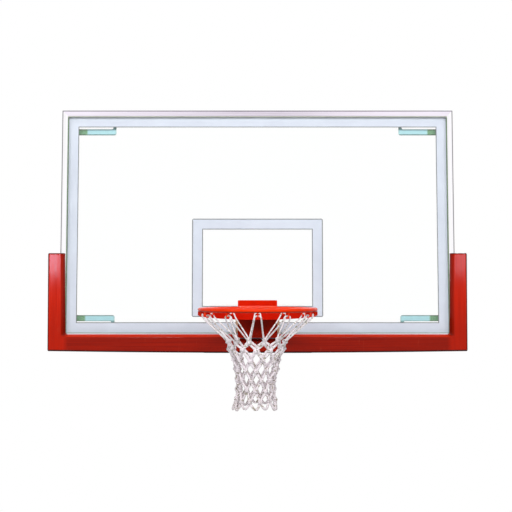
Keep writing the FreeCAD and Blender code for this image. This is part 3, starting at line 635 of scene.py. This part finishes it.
def round_pad(bm):
    """Rounds the left pad half's corners and its front, seam, back and inner edges."""
    beside_notch = pad_notch_x - 1e-4
    lip_corners = [Vector((pad_outer_x + side, y, pad_bottom_z + rise))
                   for rise, side, _, y in pad_profile[1:4]]

    def at_outer_corner(p):
        low = Vector((pad_outer_x, p.y, pad_bottom_z - pad_drop))
        high = Vector((pad_outer_x - pad_splay, p.y, pad_top_z))
        return abs(p.y) > 0.01 and min((p - low).length, (p - high).length) < touching

    def at_lip_corner(p):
        return min((p - corner).length for corner in lip_corners) < touching

    def on_front(p):
        return p.x < beside_notch and abs(p.y - pad_front) < touching

    def on_notch_front(p):
        return p.x > beside_notch and abs(p.y - pad_front) < touching and p.z < pad_bottom_z + 0.001

    def on_seam(p):
        return abs(p.x - pad_seam_x) < touching and p.y < pad_lip_front + touching

    def on_back(p):
        return abs(p.y - pad_back) < touching and (p.z < pad_bottom_z + 0.02 or p.x < pad_outer_x + 0.02)

    def on_lip(p):
        return p.y < pad_lip_front + 0.0005 and p.z > pad_bottom_z + 0.03 and p.x > pad_outer_x + 0.03

    round_edges(bm, pad_corner_round, 60, at_outer_corner)
    round_edges(bm, pad_corner_round, 15, at_lip_corner)
    round_edges(bm, pad_front_round, 60, on_front)
    round_edges(bm, pad_front_round, 60, on_notch_front)
    round_edges(bm, pad_seam_round, 60, on_seam)
    round_edges(bm, pad_back_round, 60, on_back)
    round_edges(bm, pad_inner_round, 25, on_lip)


def edge_pad(side):
    """One half of the moulded pad: a run under the board and an arm up its side, with screw pockets."""
    bm = bmesh.new()
    run(bm, pad_sections())
    bmesh.ops.remove_doubles(bm, verts=bm.verts, dist=1e-6)
    bmesh.ops.dissolve_degenerate(bm, dist=1e-6, edges=bm.edges)
    bmesh.ops.recalc_face_normals(bm, faces=bm.faces)
    round_pad(bm)
    if side > 0:
        bmesh.ops.scale(bm, vec=(-1.0, 1.0, 1.0), verts=bm.verts)
    name = "edge_pad_right_skin" if side > 0 else "edge_pad_left_skin"
    return pocketed(closed(bm, name), [(side * x, z) for x, z in pad_pockets])


def round_edges(bm, radius, least, wanted):
    """Rounds the edges sharper than an angle whose two ends pass a test."""
    edges = [e for e in bm.edges if wanted(e.verts[0].co) and wanted(e.verts[1].co)
             and e.calc_face_angle(0.0) > math.radians(least)]
    bmesh.ops.bevel(bm, geom=edges, offset=radius, offset_type="OFFSET", segments=5, profile=0.5,
                    affect="EDGES", material=-1, clamp_overlap=True)


def pocketed(mesh, places):
    """Pad with round screw pockets sunk into its back."""
    cutter = bmesh.new()
    for x, z in places:
        turned(cutter, ((0.0, pad_back + 0.004), (pad_pocket_radius, pad_back + 0.004),
                        (pad_pocket_radius, pad_back - pad_pocket_depth), (0.0, pad_back - pad_pocket_depth)),
               Matrix.Translation((x, 0.0, z)), 32)
    tool = bpy.data.objects.new("pocket_tool", closed(cutter, "pocket_tool"))
    pad = bpy.data.objects.new(mesh.name, mesh)
    for holder in (tool, pad):
        bpy.context.scene.collection.objects.link(holder)
    sink = pad.modifiers.new("pockets", "BOOLEAN")
    sink.object = tool
    sink.operation = "DIFFERENCE"
    sink.solver = "EXACT"
    done = bmesh.new()
    done.from_object(pad, bpy.context.evaluated_depsgraph_get())
    for holder in (tool, pad):
        bpy.data.objects.remove(holder)
    return closed(done, mesh.name)


def turned(bm, profile, place, steps=32):
    """Turned piece: a profile of (radius, distance along) spun round its own axis."""
    points = [bm.verts.new(place @ Vector((radius, along, 0.0))) for radius, along in profile]
    edges = [bm.edges.new(pair) for pair in zip(points, points[1:])]
    bmesh.ops.spin(bm, geom=points + edges, cent=place.translation, axis=place.to_3x3() @ Vector((0, 1, 0)),
                   angle=2 * math.pi, steps=steps, use_merge=True)


def hexagon(bm, radius, start, end, place, edge=0.0006):
    """Hexagonal head or nut with softened edges."""
    middle = place @ Matrix.Translation((0.0, (start + end) / 2, 0.0)) @ Matrix.Rotation(math.pi / 2, 4, "X")
    block = bmesh.ops.create_cone(bm, cap_ends=True, segments=6, radius1=radius, radius2=radius,
                                  depth=abs(end - start), matrix=middle)
    edges = {e for v in block["verts"] for e in v.link_edges}
    bmesh.ops.bevel(bm, geom=list(edges), offset=edge, offset_type="OFFSET", segments=2, profile=0.5,
                    affect="EDGES", material=-1)


def socket_screw(bm, profile, top, socket, place):
    """Screw turned from a profile that ends at the rim of its top, with a hexagon socket in the top."""
    turned(bm, profile, place, 24)
    rim = [e for e in bm.edges if e.is_boundary and (e.verts[0].co - place.translation).length < 0.03]
    facing = place @ Matrix.Translation((0.0, top, 0.0)) @ Matrix.Rotation(math.pi / 2, 4, "X")
    mouth = bmesh.ops.create_circle(bm, segments=6, radius=socket, matrix=facing)["verts"]
    mouth_edges = list({e for v in mouth for e in v.link_edges})
    bmesh.ops.bridge_loops(bm, edges=rim + mouth_edges)
    wall = bmesh.ops.extrude_edge_only(bm, edges=mouth_edges)["geom"]
    floor = [g for g in wall if isinstance(g, bmesh.types.BMVert)]
    bmesh.ops.translate(bm, verts=floor, vec=(0.0, -socket_depth, 0.0))
    floor_edges = [g for g in wall if isinstance(g, bmesh.types.BMEdge) and all(v in floor for v in g.verts)]
    bmesh.ops.contextual_create(bm, geom=floor_edges)


def plate_screws():
    """Countersunk screws that hold the mounting plates, seen from behind."""
    bm = bmesh.new()
    top = plate_screw_profile[-1][1]
    for x, z in plate_screw_places:
        for side in (-1, 1):
            for end in (-1, 1):
                place = Matrix.Translation((side * x, 0.0, end * z))
                socket_screw(bm, plate_screw_profile, top, plate_screw_socket, place)
    return closed(bm, "plate_screws", crease=30)


def pad_screws():
    """Domed screws at the bottom of the pad's pockets."""
    bm = bmesh.new()
    for x, z in pad_pockets:
        for side in (-1, 1):
            place = Matrix.Translation((side * x, 0.0, z))
            socket_screw(bm, pad_screw_profile, pad_screw_top, pad_screw_socket, place)
    return closed(bm, "pad_screws_turned", crease=30)


def goal_fasteners(kind):
    """Goal bolts, or their washers or nuts, at the four corners of the goal plate."""
    bm = bmesh.new()
    for x in (-goal_bolt_x, goal_bolt_x):
        for z in goal_bolt_rows:
            place = Matrix.Translation((x, 0.0, z))
            if kind == "bolts":
                hexagon(bm, goal_hexagon, *goal_bolt_head, place)
                turned(bm, goal_bolt_profile, place, 24)
            elif kind == "washers":
                turned(bm, goal_washer_profile, place, 40)
            else:
                hexagon(bm, goal_hexagon, *goal_nut, place)
                turned(bm, goal_nut_face, place, 32)
    return closed(bm, "goal_" + kind + "_turned", crease=30)


def hinge_pin_mesh():
    """Hinge pin with a chamfered head and a groove for its clip."""
    bm = bmesh.new()
    along_x = Matrix.Translation((0.0, pin_y, pin_z)) @ Matrix.Rotation(-math.pi / 2, 4, "Z")
    turned(bm, pin_profile, along_x, 40)
    return closed(bm, "hinge_pin_turned", crease=30)


def clip_mesh():
    """Spring clip in the pin's groove, open at the bottom."""
    bm = bmesh.new()
    centre = (0.0, pin_y, pin_z)
    edges = section(bm, [(x, pin_y, pin_z - radius) for x, radius in clip_section])
    face = bmesh.ops.contextual_create(bm, geom=edges)["faces"]
    half_mouth = Matrix.Rotation(math.radians(clip_half_mouth), 3, "X")
    bmesh.ops.rotate(bm, verts=bm.verts, cent=centre, matrix=half_mouth)
    bmesh.ops.spin(bm, geom=face, cent=centre, axis=(1, 0, 0), angle=math.radians(360 - 2 * clip_half_mouth),
                   steps=48)
    return closed(bm, "pin_clip_bent", crease=30)


def spring_seats(disc, boss, name):
    """Pair of turned spring seats: a disc and the boss that centres the spring."""
    bm = bmesh.new()
    inward = 1.0 if boss > disc else -1.0
    face = disc + inward * seat_thickness
    edge = inward * seat_edge
    profile = ((0.0, disc), (seat_radius - seat_edge, disc), (seat_radius, disc + edge),
               (seat_radius, face - edge), (seat_radius - seat_edge, face),
               (seat_boss_radius + seat_edge, face), (seat_boss_radius, face + edge),
               (seat_boss_radius, boss - inward * seat_boss_edge), (seat_boss_radius - seat_boss_edge, boss),
               (0.0, boss))
    for x in (-spring_x, spring_x):
        turned(bm, profile, Matrix.Translation((x, 0.0, spring_z)), 48)
    return closed(bm, name, crease=30)


def weld_beads():
    """Weld beads of the carrier's top plate, at the ring and at the front panel."""
    chance = random.Random(net_seed + 2)
    reach = math.asin(weld_half_length / ring_weld_radius)
    shares = [k / weld_steps - 1 for k in range(2 * weld_steps + 1)]
    at_ring = [ring_place(math.pi + reach * share, ring_weld_radius, ring_weld_z) for share in shares]
    at_panel = [Vector((weld_half_length * share, panel_weld_y, panel_weld_z)) for share in shares]
    routes = [(points, [chance.uniform(0.82, 1.12) for _ in points], False) for points in (at_ring, at_panel)]
    return rod_mesh("weld_beads", routes, weld_bead, sides=3, steps=3)


def ring_place(angle, radius, z):
    """Point round the ring's axis; angle zero is the front."""
    return Vector((radius * math.sin(angle), ring_y - radius * math.cos(angle), z))


def ring_rod_mesh():
    """Ring of round rod."""
    bm = bmesh.new()
    circle = bmesh.ops.create_circle(bm, segments=24, radius=ring_rod)
    bmesh.ops.rotate(bm, verts=circle["verts"], cent=(0, 0, 0), matrix=Matrix.Rotation(math.pi / 2, 3, "X"))
    bmesh.ops.translate(bm, verts=circle["verts"], vec=(ring_radius, ring_y, ring_z))
    bmesh.ops.spin(bm, geom=bm.verts[:] + bm.edges[:], cent=(0, ring_y, ring_z), axis=(0, 0, 1),
                   angle=2 * math.pi, steps=160, use_merge=True)
    return closed(bm, "ring_rod")


def ring_strap():
    """Strap under the rear half of the ring, deeper towards the carrier."""
    bm = bmesh.new()
    inner = strap_outer - strap_thickness
    top, low = ring_z - strap_top_drop, ring_z - strap_side_drop
    corners = ((inner, top), (strap_outer, top), (strap_outer, low), (inner, low))
    edges = section(bm, [(x, ring_y, z) for x, z in corners])
    face = bmesh.ops.contextual_create(bm, geom=edges)["faces"]
    bmesh.ops.spin(bm, geom=face, cent=(0, ring_y, ring_z), axis=(0, 0, 1), angle=math.pi, steps=90)
    bmesh.ops.remove_doubles(bm, verts=bm.verts, dist=1e-6)
    slope = Matrix.Identity(4)
    slope[2][1] = -(strap_rear_drop - strap_side_drop) / strap_outer
    lower = [v for v in bm.verts if v.co.z < low + 1e-6]
    about = Matrix.Translation((0, ring_y, 0))
    bmesh.ops.transform(bm, matrix=about @ slope @ about.inverted(), verts=lower)
    return closed(bm, "ring_strap")


def hook_mesh():
    """Bent round hooks under the ring."""
    routes = []
    for k in range(hook_count):
        angle = 2 * math.pi * k / hook_count
        bend = [(hook_shank_radius, z) for z in (hook_shank_z, hook_mid_z, hook_low_z)]
        bend += [(hook_tip_radius, z) for z in (hook_low_z, hook_mid_z, hook_tip_z)]
        routes.append(([ring_place(angle, r, z) for r, z in bend], [1.0] * len(bend), False))
    return rod_mesh("bent_hooks", routes, hook_rod, sides=3, steps=8)


def spring_mesh(side):
    """Compression spring with closed ends, one smooth wire."""
    turns = 2 * spring_closed_turns + spring_active_turns
    length = spring_start_y - spring_end_y
    active = (length - 2 * spring_closed_turns * spring_closed_pitch) / spring_active_turns
    swell = 1 / math.cos(math.pi / spring_points_per_turn)
    points = []
    for k in range(round(turns * spring_points_per_turn) + 1):
        turn = k / spring_points_per_turn
        first = min(turn, spring_closed_turns)
        last = max(turn - turns + spring_closed_turns, 0)
        advance = (first + last) * spring_closed_pitch + (turn - first - last) * active
        angle = 2 * math.pi * turn
        points.append((side * (spring_x - spring_radius * swell * math.cos(angle)), spring_start_y - advance,
                       spring_z + spring_radius * swell * math.sin(angle)))
    name = "coil_right" if side > 0 else "coil_left"
    return rod_mesh(name, [(points, [1.0] * len(points), False)], spring_wire, sides=4, steps=4)


def net_knots():
    """Places of the knots: rows of twelve, each row half a mesh on from the last."""
    chance = random.Random(net_seed)
    places = {}
    for row, (drop, radius) in enumerate(zip(net_drops, net_radii)):
        for slot in range(2 * hook_count):
            turn = math.pi / hook_count * slot + chance.uniform(-0.03, 0.03)
            r = radius + chance.uniform(-0.003, 0.003)
            z = ring_z - drop + chance.uniform(-0.004, 0.004)
            if row == len(net_drops) - 1:
                z += net_hem_lift * math.cos(turn) ** 2
                r += net_hem_flare * math.sin(turn) ** 2
            lean = Vector((net_lean * drop / net_drops[-1], 0, 0))
            outward = ring_place(turn, 1.0, z) - ring_place(turn, 0.0, z)
            places[row, slot] = (ring_place(turn, r, z) + lean, outward)
    return places


def leg(hook, way, places):
    """Line of one cord from its hook's loop down to the hem, with the thickness at each point."""
    angle = 2 * math.pi * hook / hook_count
    side = way * net_loop_half_width / net_loop_radius
    points = [ring_place(angle + side, net_loop_radius, net_loop_z),
              ring_place(angle + side * 1.2, net_loop_radius - 0.003, net_loop_z - net_loop_drop)]
    thickness = [1.0, net_leg_cord]
    last = len(net_drops) - 1
    for row in range(last + 1):
        slot = (2 * hook + way * (row + 1)) % (2 * hook_count)
        knot, outward = places[row, slot]
        along = Vector((-outward.y, outward.x, 0)) * way
        over = (row % 2 == 0) == (way > 0)
        lift = outward * net_cord * (net_cross_lift if over else -net_cross_lift)
        if row == last:
            points += [knot - along * 0.009 + Vector((0, 0, 0.004)),
                       knot - along * 0.003 - Vector((0, 0, 0.001)), knot]
            thickness += [net_body_cord] * 3
        else:
            shift = along * net_cross_shift - Vector((0, 0, net_cross_rise))
            points += [knot + lift - shift, knot + lift + shift]
            thickness += [net_leg_cord if row == 0 else net_body_cord, net_body_cord]
    return points, thickness


def net_mesh():
    """Twelve cords from hem to hook to hem, tied where they cross."""
    places = net_knots()
    chance = random.Random(net_seed + 1)
    routes = []
    for hook in range(hook_count):
        left, left_thick = leg(hook, -1, places)
        right, right_thick = leg(hook, 1, places)
        routes.append((left[::-1] + right, left_thick[::-1] + right_thick, False))
    for row in range(len(net_drops) - 1):
        for slot in range((row + 1) % 2, 2 * hook_count, 2):
            knot, outward = places[row, slot]
            for tilt in (0.6, -0.5):
                turn = Matrix.Rotation(tilt + chance.uniform(-0.25, 0.25), 3, outward)
                flat = [Vector((outward.x * math.cos(a) - outward.y * math.sin(a),
                                outward.y * math.cos(a) + outward.x * math.sin(a), 0))
                        for a in (2 * math.pi * k / 6 for k in range(6))]
                loop = [knot + turn @ point * net_cord * net_knot_radius for point in flat]
                routes.append((loop, [net_knot_cord] * len(loop), True))
    return rod_mesh("net_cords", routes, net_cord, sides=2, steps=5)


def softbox(name, place, aim, width, height, power, colour=(1.0, 1.0, 1.0), only=()):
    """Plain soft lamp turned towards a point, whose light may be kept to some pieces."""
    lamp = bpy.data.lights.new(name, "AREA")
    lamp.shape = "RECTANGLE"
    lamp.size, lamp.size_y = width, height
    lamp.energy = power
    lamp.color = colour
    lamp.cycles.use_multiple_importance_sampling = False
    holder = bpy.data.objects.new(name, lamp)
    holder.location = place
    holder.rotation_euler = (Vector(aim) - Vector(place)).to_track_quat("-Z", "Y").to_euler()
    bpy.context.scene.collection.objects.link(holder)
    if only:
        lit = bpy.data.collections.new(name + "_lit")
        for piece in only:
            lit.objects.link(piece)
        holder.light_linking.receiver_collection = lit


def seen_rays(tree):
    """One for rays by which the camera sees the surround, also by glass and gloss, and nought for others."""
    path = tree.nodes.new("ShaderNodeLightPath")
    by_piece = sum_node(tree, "MAXIMUM", path.outputs["Is Glossy Ray"], path.outputs["Is Transmission Ray"])
    seen = sum_node(tree, "MAXIMUM", path.outputs["Is Camera Ray"], by_piece)
    return sum_node(tree, "MULTIPLY", seen, sum_node(tree, "LESS_THAN", path.outputs["Diffuse Depth"], 0.5))


def studio(pads):
    """White surround, pale floor, soft lamps and the camera."""
    scene = bpy.context.scene
    scene.view_settings.view_transform = "Standard"
    world = bpy.data.worlds.new("studio")
    world.use_nodes = True
    scene.world = world
    tree = world.node_tree
    backdrop = tree.nodes["Background"]
    backdrop.inputs["Color"].default_value = untinted
    tree.links.new(span(tree, seen_rays(tree), 0.0, 1.0, shade_light, 1.0), backdrop.inputs["Strength"])

    bm = bmesh.new()
    bmesh.ops.create_grid(bm, x_segments=4, y_segments=4, size=floor_half)
    bmesh.ops.translate(bm, verts=bm.verts, vec=(0, 0, floor_z))
    floor = bpy.data.objects.new("floor", closed(bm, "floor"))
    scene.collection.objects.link(floor)
    material, tree, shader = finish("pale_floor", roughness=0.9, specular=0.1)
    pale = ramp(tree, mottle(tree, 2.0), [(0.3, paint(240, 240, 240)), (0.7, paint(246, 246, 246))])
    tree.links.new(pale, shader.inputs["Base Color"])
    shader.inputs["Emission Color"].default_value = untinted
    glow = span(tree, seen_rays(tree), 0.0, 1.0, 0.0, floor_light)
    tree.links.new(glow, shader.inputs["Emission Strength"])
    floor.data.materials.append(material)

    softbox("left_box", (-1.42, -1.6, -0.06), (-0.93, -0.07, -0.2), 0.16, 0.26, 6.0, (0.92, 0.78, 1.0), pads)
    softbox("right_box", (1.42, -1.6, -0.06), (0.93, -0.07, -0.2), 0.16, 0.26, 2.0, (0.96, 0.86, 1.0), pads)
    softbox("sky_box", (0, -5.5, 3.5), (0, -0.1, -0.2), 3.4, 1.2, 248)
    softbox("rear_box", (0.9, 4.4, 2.4), (0, 0, -0.1), 3.0, 1.4, 120)
    for side in (-1, 1):
        softbox("ring_box", (side * 3.4, -3.7, 1.2), (0, -0.5, -0.39), 0.3, 0.3, 30)

    camera = bpy.data.cameras.new("camera")
    camera.lens = camera_lens
    camera.sensor_width = camera_sensor
    holder = bpy.data.objects.new("camera", camera)
    holder.location = camera_place
    holder.rotation_euler = (math.radians(camera_tilt), 0, 0)
    scene.collection.objects.link(holder)
    scene.camera = holder


# A thin grey line runs along the prints' edges.
border_lines = ((0.0, False), (border_inner_edge - grey_edge_width, True))
target_lines = ((0.0, True), (grey_edge_width, False), (target_line - grey_edge_width, True))
dress(clear_glass(), "glass_panel")
dress(fired_print("border_print", board_edge, border_lines), "border_marking")
dress(fired_print("target_print", target_edge, target_lines), "target_marking")
# The seal's pale top colour is painted light.
dress(rubber("glazing_seal", paint(116, 138, 114), paint(138, 158, 134), 60.0, top=paint(232, 236, 222)),
      "glazing_gasket")
# The rails' darker middle colour is a painted reflection.
dress(aluminium("frame_long", (0.4, 40.0, 40.0), paint(207, 199, 211), paint(246, 239, 250)),
      "frame_top_rail", "frame_bottom_rail")
dress(aluminium("frame_upright", (40.0, 40.0, 0.4), paint(250, 249, 252), paint(252, 251, 253)),
      "frame_left_stile", "frame_right_stile")
dress(coated_plate(), "mount_plate_top_left", "mount_plate_top_right", "mount_plate_bottom_left",
      "mount_plate_bottom_right")
zinc = plain_metal("zinc_steel", paint(170, 172, 176), paint(215, 216, 214), 0.34, 60.0)
dress(zinc, "mount_plate_nuts")
dress(rubber("tan_fibre", paint(190, 160, 132), paint(208, 178, 150), 120.0), "goal_gasket")
dress(rubber("black_rubber", paint(24, 24, 24), paint(38, 38, 38), 120.0), "rear_gasket")
dress(rubber("nylon", paint(222, 220, 208), paint(236, 234, 224), 40.0, 0.4), "glass_bushings")
dress(plain_metal("bronze", paint(170, 120, 62), paint(205, 156, 92), 0.36, 80.0), "hinge_bushes")
orange = powder_coat("orange_steel", paint(236, 48, 6), paint(246, 58, 11))
ring_orange = powder_coat("orange_ring", paint(236, 48, 6), paint(246, 58, 11), ring_painted_shade)
# Painted shade: darker copies of the same orange paint on the plates, the strap and the front panel.
plate_orange_shaded = powder_coat("orange_plate", paint(208, 30, 2), paint(222, 38, 5))
strap_orange_shaded = powder_coat("orange_strap", paint(200, 18, 0), paint(212, 25, 2))
panel_orange_shaded = powder_coat("orange_panel", paint(206, 28, 0), paint(220, 36, 3), panel_painted_shade)
dress(orange, "carrier_top_plate")
dress(plate_orange_shaded, "goal_back_plate", "hinge_lug_left", "hinge_lug_right", "carrier_web_left",
      "carrier_web_right", "rear_goal_plate")
dress(panel_orange_shaded, "carrier_front_panel")

skin = pad_skin()
pads = []
for side, node in ((-1, "edge_pad_left"), (1, "edge_pad_right")):
    pad = settle(edge_pad(side), node + "_skin", skin, "board", "red_pad", node)
    pads.append(pad)
settle(ring_rod_mesh(), "ring_rod", ring_orange, "rim", "orange_steel", "rim_ring")
settle(ring_strap(), "ring_strap", strap_orange_shaded, "rim", "orange_steel", "ring_brace")
settle(hook_mesh(), "bent_hooks", orange, "rim", "orange_steel", "net_hooks")
wire = plain_metal("spring_wire", paint(96, 98, 104), paint(150, 152, 156), 0.34, 90.0)
for side, node in ((-1, "return_spring_left"), (1, "return_spring_right")):
    coil = settle(spring_mesh(side), node + "_coil", wire, None, "spring_steel", node)
    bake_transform(coil)
settle(plate_screws(), "plate_screws", zinc, "board", "zinc_steel", "mount_plate_screws")
settle(pad_screws(), "pad_screws_turned", zinc, "board", "zinc_steel", "pad_screws")
for kind in ("bolts", "washers", "nuts"):
    settle(goal_fasteners(kind), "goal_" + kind + "_turned", zinc, "board", "zinc_steel", "goal_" + kind)
settle(hinge_pin_mesh(), "hinge_pin_turned", zinc, "board", "zinc_steel", "hinge_pin")
settle(clip_mesh(), "pin_clip_bent", wire, "board", "zinc_steel", "pin_clip")
settle(spring_seats(*rear_seat, "rear_seats_turned"), "rear_seats_turned", zinc, "board", "zinc_steel",
       "rear_spring_seats")
settle(spring_seats(*front_seat, "front_seats_turned"), "front_seats_turned", zinc, "rim", "zinc_steel",
       "front_spring_seats")
settle(weld_beads(), "weld_beads", orange, "rim", "orange_steel")
settle(net_mesh(), "net_cords", twisted_cord(), "rim", "white_cord", "net")
studio(pads)
